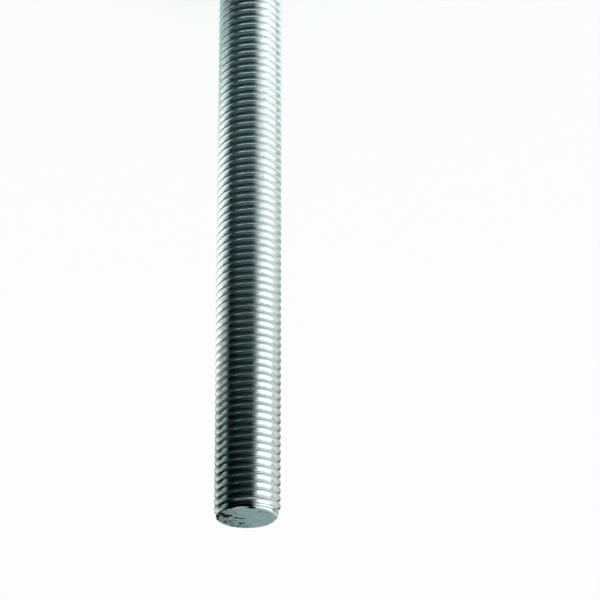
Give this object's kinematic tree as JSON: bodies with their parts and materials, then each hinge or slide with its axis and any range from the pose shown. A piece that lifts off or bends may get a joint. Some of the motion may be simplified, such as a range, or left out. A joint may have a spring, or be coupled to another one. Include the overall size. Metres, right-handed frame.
{
  "type": "threaded rod",
  "caption": "Fully threaded, zinc-plated steel rod with a right-hand metric thread and tapered ends, which joins or hangs parts with nuts anywhere along it.",
  "frame": {"origin": "centre of the base end face, on which the rod stands", "axes": "+Z along the rod's axis, up from the base end face to the top end face"},
  "size_m": [0.016, 0.016, 0.15],
  "materials": {
    "zinc_plated_steel": "bright bluish zinc plating over rolled steel"
  },
  "bodies": {
    "root": {"threaded_rod": "zinc_plated_steel"}
  },
  "joints": []
}
